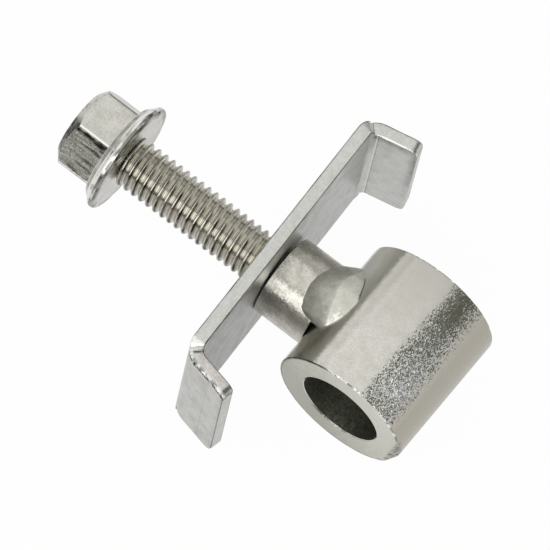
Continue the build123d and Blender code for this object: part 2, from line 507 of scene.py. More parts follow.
def ease(value, low, high):
    """Smooth step from 0 at low to 1 at high."""
    share = min(1.0, max(0.0, (value - low) / (high - low)))
    return share * share * (3 - 2 * share)


def around_x(along, radius, angle):
    """Point on the bolt's axis system."""
    return along, radius * math.cos(angle), radius * math.sin(angle)


def around_y(along, radius, angle):
    """Point on the axle's axis system."""
    return radius * math.cos(angle), along, radius * math.sin(angle)


def turned(outline, segments, place):
    """Points and faces of a closed outline of (along, radius) turned round; place gives each point."""
    count = len(outline)
    points = []
    faces = []
    for step in range(segments):
        angle = 2 * math.pi * step / segments
        points += [place(along, radius, angle) for along, radius in outline]
        start = step * count
        after = (step + 1) % segments * count
        for corner in range(count):
            following = (corner + 1) % count
            faces.append((start + corner, start + following, after + following, after + corner))
    return points, faces


def rows_of_faces(rows, ring):
    """Faces between rows of points, where each row is a closed ring."""
    faces = []
    for row in range(rows - 1):
        for column in range(ring):
            following = (column + 1) % ring
            faces.append((
                row * ring + column, row * ring + following,
                (row + 1) * ring + following, (row + 1) * ring + column,
            ))
    return faces


print("five steps from 0 to 1:", steps(0, 1, 5))

# %% Making, cutting and handing over a piece
SHARP_ANGLE = 32
MERGE_MM = 0.0005


def make_piece(name, points, faces, sharp_angle=SHARP_ANGLE, marks=None):
    """New smooth-shaded object from points in millimetres, with its sharp edges marked, and its dirt,
    painted shade and painted highlights marked.
    """
    mesh = bpy.data.meshes.new(name)
    mesh.from_pydata([Vector(point) * MM for point in points], [], faces)
    attribute = mesh.attributes.new(MARK_NAME, "FLOAT", "POINT")
    attribute.data.foreach_set("value", marks or [0.0] * len(points))
    tidy = bmesh.new()
    tidy.from_mesh(mesh)
    bmesh.ops.remove_doubles(tidy, verts=tidy.verts, dist=MERGE_MM * MM)
    bmesh.ops.recalc_face_normals(tidy, faces=tidy.faces)
    tidy.to_mesh(mesh)
    tidy.free()
    mesh.shade_smooth()
    mesh.set_sharp_from_angle(angle=math.radians(sharp_angle))
    return put_in_scene(name, mesh)


def settle(piece):
    """Turns a piece's modifiers into plain mesh."""
    shown = piece.evaluated_get(bpy.context.evaluated_depsgraph_get())
    mesh = bpy.data.meshes.new_from_object(shown)
    piece.modifiers.clear()
    piece.data = mesh


def drill_along_x(piece, diameter, start, end):
    """Cuts a round hole on the bolt's axis."""
    outline = [(start, 0.001), (start, diameter / 2), (end, diameter / 2), (end, 0.001)]
    drill = make_piece("drill", *turned(outline, 96, around_x))
    cut = piece.modifiers.new("hole", "BOOLEAN")
    cut.operation = "DIFFERENCE"
    cut.solver = "MANIFOLD"
    cut.object = drill
    settle(piece)
    bpy.data.objects.remove(drill)
    piece.data.set_sharp_from_angle(angle=math.radians(SHARP_ANGLE))


def hand_over(piece, node, body, finish):
    """Gives a piece its finish, and lets it stand for a CAD node on a body."""
    piece.data.materials.clear()
    piece.data.materials.append(finish)
    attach(piece, body)
    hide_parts(node)
    print(piece.name, "faces:", len(piece.data.polygons))


print("edges over this many degrees stay sharp:", SHARP_ANGLE)

# %% [markdown]
# ## Axle barrel
#
# The barrel is a length of thick tube, sawn off and deburred. A bevelled cylinder would be too perfect:
# on the real one the rim is a little ragged and one place on the front rim is ground flat, and the rim is
# marked darker on one side and bright on the other. So its outline is turned with small changes of radius
# along both rims, and points beyond a grinding plane are pressed back onto it.

# %% Barrel form
BARREL_R = 8.2
BARREL_HALF = 8.5
BORE_R = 5.0
RIM_BREAK = 0.09
RIM_WIDTH = 0.3
RAGGED = 0.03
LINE_FADE = 0.07
BORE_BREAK = 0.15
BOLT_HOLE_D = 6.12
GROUND_ANGLE = math.radians(-8)
GROUND_LEAN = math.radians(30)
GROUND_REACH = 10.95
GROUND_AWAY = Vector((
    math.cos(GROUND_ANGLE) * math.sin(GROUND_LEAN), -math.cos(GROUND_LEAN),
    math.sin(GROUND_ANGLE) * math.sin(GROUND_LEAN),
))


def barrel_outline():
    """Closed outline of the tube wall, with close rings at the rims."""
    inner_end = BARREL_HALF - RIM_BREAK - LINE_FADE
    outer = [(-inner_end - LINE_FADE, BARREL_R)]
    outer += [(along, BARREL_R) for along in steps(-inner_end, inner_end, 44)]
    outer += [(inner_end + LINE_FADE, BARREL_R)]
    radii = [BARREL_R - RIM_BREAK] + steps(BARREL_R - RIM_BREAK - LINE_FADE, BORE_R + BORE_BREAK, 18)
    far_face = [(BARREL_HALF, radius) for radius in radii]
    bore = [(along, BORE_R) for along in steps(BARREL_HALF - BORE_BREAK, -BARREL_HALF + BORE_BREAK, 18)]
    near_face = [(-BARREL_HALF, radius) for radius in reversed(radii)]
    return outer + far_face + bore + near_face


def barrel_point(along, radius, angle):
    """Point of the barrel, with ragged rims and the ground place on the front rim."""
    rim = max(0.0, 1 - (BARREL_HALF - abs(along)) / RIM_WIDTH)
    spot = Vector((math.cos(angle), along * 0.2, math.sin(angle)))
    ragged = noise.noise(spot * 9) * RAGGED + noise.noise(spot * 40) * RAGGED
    inward = -1 if radius > (BARREL_R + BORE_R) / 2 else 1
    at_edge = 1 if radius > BARREL_R - RIM_WIDTH or radius < BORE_R + RIM_WIDTH else 0
    point = Vector(around_y(along, radius + inward * at_edge * rim * abs(ragged), angle))
    over = point.dot(GROUND_AWAY) - GROUND_REACH
    if over > 0:
        point -= GROUND_AWAY * over
    return point


print("points in the barrel's outline:", len(barrel_outline()))

# %% Marks on the barrel
DARK_RIM_FROM = 108
DARK_RIM_TO = -60
BRIGHT_RIM_FROM = 28


def on_rim(point):
    """Whether a point lies on one of the two outer rims."""
    radius = math.hypot(point.x, point.z)
    near_end = abs(point.y) > BARREL_HALF - RIM_BREAK - LINE_FADE / 2
    return near_end and radius > BARREL_R - RIM_BREAK - LINE_FADE / 2 - 0.06


def barrel_mark(point):
    """Rims darker in some places and bright in others, the ground place dull, and painted shade and painted
    light on the front face.
    """
    angle = math.degrees(math.atan2(point.z, point.x))
    fine = noise.noise(point * 1.9)
    coarse = noise.noise(point * 0.8 + Vector((5, 0, 0)))
    if point.dot(GROUND_AWAY) > GROUND_REACH - 0.02:
        return -0.15 - 1.4 * max(0.0, noise.noise(point * 2.6))
    # Painted shade and painted light on the front face: darker towards the left and the bottom, lighter
    # towards the right and the top.
    if point.y < 0.01 - BARREL_HALF and not on_rim(point):
        return max(-0.36, min(0.25, -0.13 + 0.034 * point.x + 0.026 * point.z + 0.1 * fine))
    if not on_rim(point):
        return 0.0
    if point.y > 0:
        return 0.8 if fine > 0.28 else -0.5 + 0.5 * coarse
    if angle > DARK_RIM_FROM or angle < DARK_RIM_TO:
        return -0.7 - 0.3 * fine
    if angle > BRIGHT_RIM_FROM:
        return 0.95 if fine > -0.12 else -0.35
    return -0.55 + 0.9 * max(0.0, fine)


print("mark at the top of the front rim:", round(barrel_mark(Vector((0, -BARREL_HALF, BARREL_R))), 2))

# %% Barrel
barrel_points, barrel_faces = turned(barrel_outline(), 300, barrel_point)
barrel_marks = [barrel_mark(point) for point in barrel_points]
barrel = make_piece("axle_barrel_tube", barrel_points, barrel_faces, marks=barrel_marks)
drill_along_x(barrel, BOLT_HOLE_D, -9.0, -3.0)
hand_over(barrel, "axle_barrel", "barrel", barrel_finish)
barrel.data.materials.append(bore_finish)
for face in barrel.data.polygons:
    from_axle = math.hypot(face.center.x, face.center.z) / MM
    if from_axle < BORE_R + 0.05:
        face.material_index = 1

# %% [markdown]
# ## Threaded neck
#
# The neck is a sleeve with a flat end against the barrel, so it only touches the barrel along one line and
# a wedge-shaped gap stays open at its sides. A primitive cylinder would lack the hole and the edge break,
# so it is turned from a short outline that has both.

# %% Neck
NECK_R = 4.875
NECK_START = -14.7
NECK_END = -8.2
NECK_BREAK = 0.12
NECK_HOLE_R = BOLT_HOLE_D / 2

neck_outline = [(along, NECK_R) for along in steps(NECK_START + NECK_BREAK, NECK_END, 16)]
neck_outline += [(NECK_END, radius) for radius in steps(NECK_R - 0.3, NECK_HOLE_R, 5)]
neck_outline += [(along, NECK_HOLE_R) for along in steps(NECK_END - 0.4, NECK_START, 8)]
neck_outline += [(NECK_START, radius) for radius in steps(NECK_HOLE_R + 0.3, NECK_R - NECK_BREAK, 4)]
neck = make_piece("threaded_neck_sleeve", *turned(neck_outline, 160, around_x))
hand_over(neck, "threaded_neck", "barrel", neck_finish)

# %% [markdown]
# ## Weld runs
#
# The weld that joins the neck to the barrel has set as one lump: it rises from an uneven toe on the neck,
# turns over a clear ridge and runs level into the barrel. A revolved fillet would have the same toe and
# ridge all round, so each section of the run is worked out in turn as it goes round the neck. The toe and
# the ridge follow a few measured places. The flank towards the neck keeps a dull green-grey stain.

# %% Form of a weld run
BEAD_FOOT_R = 4.8
BEAD_INNER_R = 4.0
BEAD_FIRST = 6.0
BEAD_LAST = 137.0
BEAD_SUNK_R = 7.8
BEAD_STAIN = 0.1
BEAD_WANDER = 0.16
BEAD_LUMPS = 0.09
BEAD_RUN_OUT = 6.0
BEAD_SWELL = 1.1
BEAD_TOE = ((6, -9.5), (25, -9.7), (66, -10.45), (86, -10.85), (110, -10.7), (128, -10.2), (137, -9.2))
BEAD_RIDGE = ((6, -7.3), (44, -7.15), (76, -7.8), (104, -7.1), (122, -6.2), (137, -5.6))
BEAD_TOP_R = ((6, 6.0), (25, 6.1), (60, 6.35), (110, 6.42), (137, 6.4))


def between(knots, angle):
    """Value at an angle, on straight lines from one (angle, value) to the next."""
    for (low, start), (high, end) in zip(knots, knots[1:]):
        if angle <= high:
            return start + (end - start) * (angle - low) / (high - low)
    return knots[-1][1]


def sunk_station(radius, angle):
    """Where a point at this radius from the bolt's axis is a little inside the barrel."""
    height = radius * math.sin(math.radians(angle))
    return -math.sqrt(BEAD_SUNK_R ** 2 - height ** 2)


def bead_section(angle, seed):
    """Closed ring of (along, radius, share): share is 0 at the toe, 1 past the ridge and 2 when hidden."""
    wander = noise.noise(Vector((angle / 9, seed, 0))) * BEAD_WANDER
    toe = between(BEAD_TOE, angle) + wander
    ridge = between(BEAD_RIDGE, angle) - wander
    end = ease(BEAD_LAST - angle, 0.0, BEAD_RUN_OUT)
    rise = (between(BEAD_TOP_R, angle) - BEAD_FOOT_R) * end
    ring = []
    for along in steps(toe, sunk_station(BEAD_FOOT_R + rise, angle), 48):
        share = min(1.0, (along - toe) / (ridge - toe))
        lump = noise.noise(Vector((along * 0.7, angle / 14, seed))) * BEAD_LUMPS * share
        ring.append((along, BEAD_FOOT_R + rise * (1 - (1 - share) ** BEAD_SWELL) + lump, share))
    sunk = [(sunk_station(radius, angle), radius, 2) for radius in steps(BEAD_FOOT_R, BEAD_INNER_R, 4)]
    underside = [(along, BEAD_INNER_R, 2) for along in steps(sunk[-1][0], toe + 0.3, 8)[1:]]
    return ring + sunk + underside


print("toe of the weld at the top in mm:", between(BEAD_TOE, 90))

# %% Weld beads
DARK_TOE_FROM = 56
DARK_TOE_TO = 84
# Place of the painted highlight on the weld.
GLINT_X = -5.9
GLINT_ANGLE = 112
GLINT_SPREAD = 14


def weld_mark(point, angle, share):
    """Stain on the flank towards the neck, thin lines at the toes and a painted highlight beside the
    barrel.
    """
    fine = noise.noise(point * 1.7)
    if share > 1:
        return 0.0
    flank = 1 - ease(share, 0.9, 1.0)
    stain = -BEAD_STAIN * flank * (1 + 1.6 * fine) - 0.3 * ease(0.05 - share, 0.0, 0.04)
    stain -= 0.35 * ease(angle, 124, 134)
    from_barrel = math.hypot(point.x, point.z) - BARREL_R
    if DARK_TOE_FROM < angle < DARK_TOE_TO and abs(from_barrel) < 0.11:
        return -0.8
    # Painted highlight beside the barrel.
    spot = math.hypot(point.x - GLINT_X, (angle - GLINT_ANGLE) / GLINT_SPREAD)
    glint = 0.85 * ease(0.42 + 0.9 * noise.noise(point * 3.4) - spot, 0.0, 0.2)
    return glint if glint > 0.1 else stain


def weld_run(node, name, side, seed):
    """One run round the neck: side is 1 for the upper one and -1 for the lower one."""
    angles = steps(BEAD_FIRST, BEAD_LAST, 150)
    points = []
    marks = []
    for angle in angles:
        for along, radius, share in bead_section(angle, seed):
            point = Vector(around_x(along, radius, math.radians(angle)))
            marks.append(weld_mark(point, angle, share))
            points.append((point.x, point.y, side * point.z))
    ring = len(points) // len(angles)
    faces = rows_of_faces(len(angles), ring)
    faces += [tuple(range(ring)), tuple(range(len(points) - ring, len(points)))]
    piece = make_piece(name, points, faces, sharp_angle=50, marks=marks)
    hand_over(piece, node, "barrel", weld_finish)


weld_run("weld_bead_upper", "weld_run_upper", 1, 3.3)
weld_run("weld_bead_lower", "weld_run_lower", -1, 8.6)

# %% [markdown]
# ## End plate
#
# The plate is sheared from sheet, with a narrower tab bent up at each end and a small relief where each
# bend starts. It could be cut from a bent bar, but then its edges couldn't be worn one by one. So it is a
# loft: a rounded rectangle, as thick and as wide as the sheet, follows the bent line from one tab's tip to
# the other's. The width changes along the line, which gives the shoulders, the reliefs and the rounded tips
# without any cutting. Only the bolt's hole is cut.

# %% Bent line of the plate
PLATE_INNER_X = -14.95
PLATE_TURN = math.radians(2.0)
PLATE_OFFSET = 0.43
SHEET = 1.65
PLATE_HALF_LENGTH = 17.5
PLATE_HALF_WIDTH = 9.7
TAB_HALF_WIDTH = 8.5
TAB_LENGTH = 6.8
TAB_CORNER = 1.0
TIP_THINNING = 0.1
TIP_BREAK = 0.14
BEND_R = 1.0 + SHEET / 2
NEAR_SPLAY = math.radians(14.6)
FAR_SPLAY = math.radians(10.0)
RELIEF_R = 0.1
SHOULDER_ROUND = 0.95
SHARP_SHOULDER_ROUND = 0.35


def relief_depth(past):
    """How deep the half-round relief cuts into the tab's edge, a distance past the shoulder."""
    from_middle = past - RELIEF_R
    return math.sqrt(max(0.0, RELIEF_R ** 2 - from_middle ** 2))


def rounded_drop(inside, radius):
    """How far a rounded corner has fallen, a distance inside its start."""
    return radius - math.sqrt(max(0.0, radius ** 2 - max(0.0, inside) ** 2))


def half_line(splay, end):
    """Stations of one half of the plate, from its middle out to the tab's tip.

    Each station is (place on the middle surface, outward direction, width above the middle, width below
    it, half thickness, zone). Zone is 0 on the plate, then rises to 1 up to the shoulder, to 2 round the
    bend and to 3 along the tab, and is more at the tip.
    """
    turn = math.pi / 2 - splay
    outer_r = BEND_R + SHEET / 2
    reach = outer_r * math.tan(turn / 2)
    bend_start = PLATE_HALF_LENGTH - reach
    centre = Vector((-SHEET + outer_r, bend_start, 0))
    thick = SHEET / 2
    stations = [
        (Vector((-thick, along, 0)), Vector((-1, 0, 0)), PLATE_HALF_WIDTH, PLATE_HALF_WIDTH, thick, 0.0)
        for along in steps(0, bend_start, 60)
    ]
    shoulder = turn / 2
    low_round = SHARP_SHOULDER_ROUND if end < 0 else SHOULDER_ROUND
    for share in steps(0, 1, 22)[1:]:
        out = Vector((-math.cos(shoulder * share), math.sin(shoulder * share), 0))
        left = shoulder * (1 - share) * BEND_R
        high = PLATE_HALF_WIDTH - rounded_drop(SHOULDER_ROUND - left, SHOULDER_ROUND)
        low = PLATE_HALF_WIDTH - rounded_drop(low_round - left, low_round)
        stations.append((centre + out * BEND_R, out, high, low, thick, share))
    for share in steps(0, 1, 24):
        angle = shoulder + (turn - shoulder) * share
        out = Vector((-math.cos(angle), math.sin(angle), 0))
        half_width = TAB_HALF_WIDTH - relief_depth((angle - shoulder) * BEND_R)
        stations.append((centre + out * BEND_R, out, half_width, half_width, thick, 1 + max(share, 0.01)))
    along_tab = Vector((math.sin(turn), math.cos(turn), 0))
    bend_end = centre + out * BEND_R
    straight = TAB_LENGTH - reach
    for gone in steps(0, straight - TAB_CORNER, 20)[1:] + steps(straight - TAB_CORNER, straight, 12)[1:]:
        half_width = TAB_HALF_WIDTH - rounded_drop(TAB_CORNER - (straight - gone), TAB_CORNER)
        thin = TIP_THINNING * max(0.0, 1 - (straight - gone) / 0.12)
        zone = 2 + gone / straight
        stations.append((bend_end + along_tab * gone, out, half_width, half_width, thick - thin, zone))
    tip, out, high, low, half_thick, zone = stations[-1]
    stations.append((tip, out, high - TIP_BREAK, low - TIP_BREAK, half_thick - TIP_BREAK, zone + 0.5))
    if end < 0:
        flip = Vector((1, -1, 1))
        stations = [(place * flip, out * flip, *rest) for place, out, *rest in stations]
    return stations


near_half = half_line(NEAR_SPLAY, -1)
far_half = half_line(FAR_SPLAY, 1)
stations = near_half[:0:-1] + far_half
print("stations along the plate:", len(stations))

# %% Section of the sheet
OUTER_EDGE_R = 0.2
INNER_EDGE_R = 0.14
ROLLED_EDGE_R = 0.3
TORN_EDGE_R = 0.3


def corner_arc(half_thick, half_width, radius, side, top):
    """Points of one rounded corner, with how far along the arc each lies, from face to sheared edge."""
    arc = []
    for share in (0.25, 0.5, 0.75, 1.0):
        angle = share * math.pi / 2
        outward = side * (half_thick - radius + radius * math.cos(angle))
        height = top * (half_width - radius + radius * math.sin(angle))
        arc.append((outward, height, "edge", side, top, share))
    return arc if side == top else arc[::-1]


def sheet_section(high, low, half_thick, outer_r, inner_r):
    """Rounded rectangle that goes round from the outer face's foot.

    Each point is (outward, height, part, side, top, weight): part is face, edge or sheared, side is 1 on
    the outer face and -1 on the inner one, top is 1 above and -1 below, and weight is how far along an edge
    or a face the point lies.
    """
    across = steps(-1, 1, 25)
    sheared = (0.3, 0.0, -0.3)
    middle = (high - low) / 2
    outer_half = (high + low) / 2 - outer_r
    inner_half = (high + low) / 2 - inner_r
    section = [(half_thick, middle + part * outer_half, "face", 1, 0, part) for part in across]
    section += corner_arc(half_thick, high, outer_r, 1, 1)
    section += [(share * half_thick, high, "sheared", 0, 1, 0) for share in sheared]
    section += corner_arc(half_thick, high, inner_r, -1, 1)
    section += [(-half_thick, middle - part * inner_half, "face", -1, 0, -part) for part in across]
    section += corner_arc(half_thick, low, inner_r, -1, -1)
    section += [(-share * half_thick, -low, "sheared", 0, -1, 0) for share in sheared]
    section += corner_arc(half_thick, low, outer_r, 1, -1)
    return section


print("points round the sheet's section:", len(sheet_section(8.5, 8.5, 0.8, OUTER_EDGE_R, INNER_EDGE_R)))

# %% [markdown]
# ## Wear, painted shade and painted highlights on the plate
#
# A thin dark line along the plate's edges and darkening in the bends are painted shade. The press has torn
# the near tab's upper edge and rolled the far tab's inner edge over, so it catches the light, and that edge
# also carries a painted highlight. These could be painted, but they also change the outline, so torn places
# move points as well as mark them.

# %% Marks and torn edges


def edge_mark(spot, far, zone, side, top, share):
    """Mark on an edge: torn bright and dark on the near tab, a painted highlight where the far tab's edge
    is rolled and at the near shoulder, and painted shade as a thin dark line on the other edges.
    """
    slow = noise.noise(spot * 0.7)
    weight = min(1.0, 1.5 - abs(3 * share - 1.5))
    on_tab = zone > 1.0
    # Painted highlight along the far tab's rolled inner edge.
    if on_tab and far and side < 0 and top > 0:
        return weight * (0.6 + 0.9 * slow)
    if on_tab and not far and side > 0 and top > 0:
        chip = noise.noise(spot * 1.3 + Vector((0, 0, 3)))
        if share < 0.4:
            return -0.95 if chip > -0.2 else -0.3
        return 0.7 if chip > 0.06 else -0.5
    # Painted shade along the tabs' inner edges.
    if on_tab and side < 0:
        return -0.9 * weight
    # Painted highlight on the near shoulder's upper outer edge, painted shade on its other edges.
    if not far and 0.1 < zone <= 1.0:
        return 0.85 if top > 0 and side > 0 else -0.75 * weight
    # Painted shade: a thin dark line along the remaining edges.
    return (-0.62 + 0.5 * slow) * weight


def plate_mark(spot, far, zone, part, side, top, weight):
    """Mark for one point of the sheet, darker below zero and brighter above it: painted shade on the inner
    face, in the bends, in the relief, under the rolled edge and at the tips, painted highlights on the bend
    line and the near shoulder, darker places beside the far tip and towards the near tip, and mottling.
    """
    fine = noise.noise(spot * 2.1)
    slow = noise.noise(spot * 0.7)
    on_tab = zone > 1.0
    # Painted shade in the far bend's inner corner.
    shade_in_far_bend = 0.0
    if far and side < 0:
        shade_in_far_bend = ease(weight, 0.2, 0.95) * ease(-abs(zone - 1.0), -0.8, -0.2)
    if zone > 3.2:
        return 0.0
    # Painted shade on the tips' edges and ends.
    if zone >= 3.0 and part != "face":
        return -0.7 + 0.4 * fine
    if part == "edge":
        return edge_mark(spot, far, zone, side, top, weight)
    if part == "sheared":
        # Painted shade in the relief notch on the sheared top.
        shade_in_notch = -0.6 * ease(-abs(zone - 1.04), -0.09, -0.02) if top > 0 else 0.0
        if on_tab and not far:
            # Darker towards the near tab's tip.
            return shade_in_notch - 0.04 + 0.1 * slow - 0.4 * ease(zone, 2.8, 3.0)
        # Painted highlight on the near shoulder's sheared top.
        return 0.85 * ease(zone, 0.1, 0.4) if zone <= 1.0 and top > 0 and not far else 0.0
    if side < 0 and far and on_tab:
        # Painted shade under the rolled edge, darker beside the tip, painted highlight and painted shade
        # along the bend line, and a mottle that lifts the face a little as painted light.
        shade_under_rolled_edge = -0.65 * ease(weight, 0.8, 1.0) * (0.7 + 0.6 * fine)
        darker_beside_tip = -0.65 * ease(zone, 2.74, 2.99) * ease(weight, -0.8, 0.5) * (0.8 + 0.6 * fine)
        highlight_and_shade_on_bend = 0.5 * ease(-abs(zone - 1.6), -0.14, -0.03) - 0.5 * ease(-abs(zone - 1.85), -0.1, -0.03)
        mottle = 0.1 - 0.1 * ease(slow, 0.0, 0.3) + 0.06 * fine
        return min(shade_under_rolled_edge, darker_beside_tip) + highlight_and_shade_on_bend + mottle - 0.4 * shade_in_far_bend
    if side > 0 and not far and on_tab:
        scratch = -0.12 * ease(-abs(zone - 2.5), -0.04, -0.01)
        mottle = 0.08 * fine - 0.13 * ease(slow, -0.05, 0.3)
        # Scratches and mottling, with painted shade on the tip.
        return scratch + mottle - (0.8 if zone > 2.985 else 0.0)
    # Painted shade on the plate's inner face, darker towards the near end and in the far bend.
    if side < 0 and zone < 0.5:
        return -0.27 + 0.011 * spot.y - 0.12 * ease(slow, -0.1, 0.3) - 0.2 * shade_in_far_bend
    # Painted shade on the tips and in the far bend.
    return -0.7 if zone > 2.985 else -0.4 * shade_in_far_bend


def torn(spot, far, zone, part, side, weight):
    """How much metal an edge has lost: most on the near tab's outer edge, a trace on the others."""
    if part == "edge" and side > 0 and not far and zone > 1.3:
        rough = abs(noise.noise(spot * 1.3 + Vector((0, 0, 3)))) + 0.5 * abs(noise.noise(spot * 3.7))
        return 0.42 * rough * (1 - 0.6 * weight)
    if part == "edge":
        return 0.03 * abs(noise.noise(spot * 2.5))
    return 0.0


print("a clean edge is marked", round(edge_mark(Vector((0, 0, 9.7)), True, 0.0, 1, 1, 0.5), 2))

# %% Loft the plate
PLATE_HOLE_D = 6.6
SHEARED_FROM_X = -14.4
SHEARED_TO_Y = -15.5
SHEARED_FROM_Z = 8.3
FACING_UP = 0.95


def plate_place(point):
    """Moves the plate to its station, a little off the bolt's axis and turned on it."""
    cosine, sine = math.cos(PLATE_TURN), math.sin(PLATE_TURN)
    along = point.y + PLATE_OFFSET
    return Vector((
        PLATE_INNER_X + point.x * cosine - along * sine, point.x * sine + along * cosine, point.z
    ))


plate_points = []
plate_marks = []
for place, out, high, low, half_thick, zone in stations:
    far = place.y > 0
    inner_r = ROLLED_EDGE_R if far and zone > 1.3 else INNER_EDGE_R
    outer_r = TORN_EDGE_R if zone > 1.0 and not far else OUTER_EDGE_R
    for outward, height, part, side, top, weight in sheet_section(high, low, half_thick, outer_r, inner_r):
        spot = plate_place(place + out * outward + Vector((0, 0, height)))
        lost = torn(spot, far, zone, part, side, weight)
        spot -= (out * side + Vector((0, 0, top))) * lost
        plate_points.append(spot)
        plate_marks.append(plate_mark(spot, far, zone, part, side, top, weight))
ring = len(plate_points) // len(stations)
plate_faces = rows_of_faces(len(stations), ring)
plate_faces += [tuple(range(ring)), tuple(range(len(plate_points) - 1, len(plate_points) - ring - 1, -1))]
plate = make_piece("end_plate_sheet", plate_points, plate_faces, marks=plate_marks)
drill_along_x(plate, PLATE_HOLE_D, -18.0, -13.5)
hand_over(plate, "end_plate", "plate", plate_finish)
plate.data.materials.append(sheared_finish)
for face in plate.data.polygons:
    on_near_tab = face.center.x > SHEARED_FROM_X * MM and face.center.y < SHEARED_TO_Y * MM
    if on_near_tab and face.center.z > SHEARED_FROM_Z * MM and face.normal.z > FACING_UP:
        face.material_index = 1

# %% [markdown]
# ## Adjuster bolt
#
# The bolt is a standard hexagon flange bolt, M6 with a pitch of 1 mm. Its thread could be faked with bump,
# but the crests show along the outline, so it is real: the thread's outline is carried along a helix, and
# each turn joins the next. Painted shade and painted highlights are marked flank by flank, because they
# differ from the front of the bolt to its back.

# %% Thread
THREAD_R = 3.0
PITCH = 1.0
THREAD_DEPTH = 0.5
CREST_ROUNDING = 1.1
TIP_CHAMFER = 0.7
SEAT_X = -35.8
TIP_X = -5.8
TURN_SEGMENTS = 64


def thread_radius(part):
    """Radius at a part of one pitch, -0.5 to 0.5: a rounded crest and a rounded root."""
    fall = (1 - math.cos(2 * math.pi * part)) / 2
    return THREAD_R - THREAD_DEPTH * fall ** CREST_ROUNDING


def thread_painted_light(part, angle, along):
    """Painted shade on the flanks away from the head from the top round the front, a painted highlight on
    those flanks just behind the top, and painted shade on the crests at the back.
    """
    degrees = math.degrees(angle) % 360
    front = ease(degrees, 88, 104) * (1 - ease(degrees, 210, 240))
    behind = ease(degrees, 5, 20) * (1 - ease(degrees, 92, 106))
    upper = ease(degrees, 45, 60) * (1 - ease(degrees, 84, 94))
    flank = ease(0.14 - abs(part - 0.17), 0.0, 0.08)
    crest = ease(0.16 - abs(part), 0.0, 0.1)
    uneven = 0.85 + 0.8 * noise.noise(Vector((along * 0.9, degrees / 25, 0)))
    # Painted highlight on the upper flanks, painted shade on the front flanks and on the crests behind.
    return uneven * (0.95 * upper * flank - 1.0 * front * flank - 0.45 * behind * crest)


thread_parts = steps(-0.5, 0.5, 21)[:-1]
turns = int((TIP_X - SEAT_X) / PITCH) + 3
thread_points = []
thread_light_marks = []
thread_faces = []
per_row = len(thread_parts)
rows = turns * TURN_SEGMENTS
for row in range(rows):
    angle = 2 * math.pi * row / TURN_SEGMENTS
    start_x = SEAT_X - PITCH + PITCH * row / TURN_SEGMENTS
    for part in thread_parts:
        along = start_x + part * PITCH
        tip_limit = THREAD_R - TIP_CHAMFER + max(0.0, TIP_X - along)
        thread_points.append(around_x(along, min(thread_radius(part), tip_limit), angle))
        thread_light_marks.append(thread_painted_light(part, angle, along))
for row in range(rows - 1):
    for column in range(per_row - 1):
        corner = row * per_row + column
        thread_faces.append((corner, corner + 1, corner + per_row + 1, corner + per_row))
    joined = row + TURN_SEGMENTS
    if joined + 1 < rows:
        corner = row * per_row + per_row - 1
        next_turn = joined * per_row
        thread_faces.append((corner, next_turn, next_turn + per_row, corner + per_row))
thread = make_piece("thread", thread_points, thread_faces, sharp_angle=60, marks=thread_light_marks)
print("thread turns:", turns)

# %% Trim the thread's ends


def trim_along_x(piece, start, end):
    """Cuts a mesh off square at two stations and closes it."""
    work = bmesh.new()
    work.from_mesh(piece.data)
    for station, direction in ((start, -1), (end, 1)):
        everything = work.verts[:] + work.edges[:] + work.faces[:]
        cut = bmesh.ops.bisect_plane(
            work, geom=everything, clear_outer=True,
            plane_co=(station * MM, 0, 0), plane_no=(direction, 0, 0),
        )
        rim = [item for item in cut["geom_cut"] if isinstance(item, bmesh.types.BMEdge)]
        bmesh.ops.holes_fill(work, edges=rim, sides=0)
    work.to_mesh(piece.data)
    work.free()


trim_along_x(thread, SEAT_X + 0.02, TIP_X)
print("thread faces:", len(thread.data.polygons))

# %% [markdown]
# ## Hexagon head
#
# The head is forged: its corners are a little round, its top is turned down to a cone, and its faces keep
# streaks along the bolt. A six-sided primitive has none of that. So the outline is worked out with its
# round corners, stacked along the bolt, and held inside a cone at the top. One side of each corner carries
# a painted highlight, with a darker stripe beside it.

# %% Hexagon outline
HEX_HALF = 4.8
HEX_CORNER_R = 0.4


def heading_to(angle):
    """Unit direction in the hexagon's own plane."""
    return Vector((math.cos(angle), math.sin(angle)))


def hexagon_outline():
    """Points round the hexagon with small round corners.

    Each has its swing across the corner in degrees, and how far past the corner it lies in millimetres.
    """
    outline = []
    centre_far = (HEX_HALF - HEX_CORNER_R) / math.cos(math.pi / 6)
    for corner in range(6):
        middle = math.radians(60 * corner)
        centre = heading_to(middle) * centre_far
        for swing in steps(-30, 30, 9):
            heading = middle + math.radians(swing)
            outline.append((centre + heading_to(heading) * HEX_CORNER_R, swing, 0.0))
        after = math.radians(60 * corner + 60)
        heading = after - math.pi / 6
        end = heading_to(after) * centre_far
        end += heading_to(heading) * HEX_CORNER_R
        start = outline[-1][0]
        for part in steps(0, 1, 40)[1:-1]:
            outline.append((start.lerp(end, part), 30, part * (end - start).length))
    return outline


hexagon = hexagon_outline()
print("points round the hexagon:", len(hexagon))

# %% Hexagon head
HEX_TURN = math.radians(-6.0)
HEAD_HEIGHT = 7.0
HEAD_TOP_R = 3.95
HEAD_CHAMFER = math.radians(38)
HEX_STRIPE = 0.5
FLANGE_HEIGHT = 1.8


